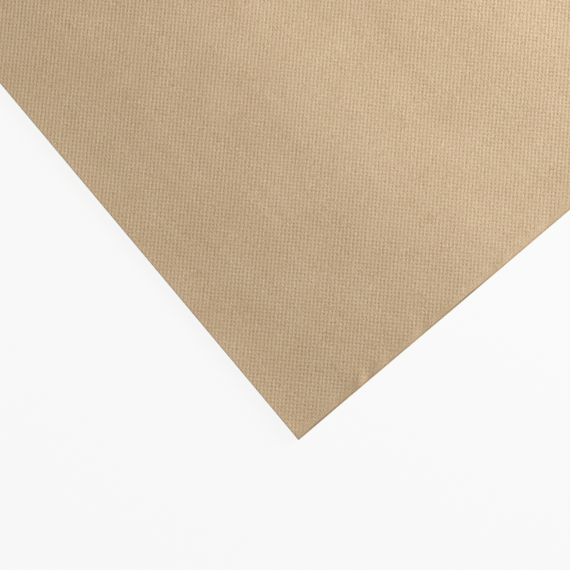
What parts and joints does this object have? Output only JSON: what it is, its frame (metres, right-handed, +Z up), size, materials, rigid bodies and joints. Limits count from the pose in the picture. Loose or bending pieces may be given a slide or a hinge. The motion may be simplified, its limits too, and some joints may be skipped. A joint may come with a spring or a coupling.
{
  "type": "paper napkin",
  "caption": "Soft beige paper napkin with an all-over pattern of fine embossed dots, folded to a quarter of its size and lying flat.",
  "frame": {"origin": "middle of the underside of the folded square, on the table it lies on", "axes": "+Z up through the leaves; the first fold runs along Y at -X, the second fold along X at -Y, so the closed corner is at -X -Y and the open edges are at +X and +Y"},
  "size_m": [0.165, 0.1652, 0.0023],
  "materials": {
    "tissue": "unbleached beige tissue, matt and soft, embossed all over with fine dots"
  },
  "bodies": {
    "root": {"napkin": "tissue"}
  },
  "joints": []
}
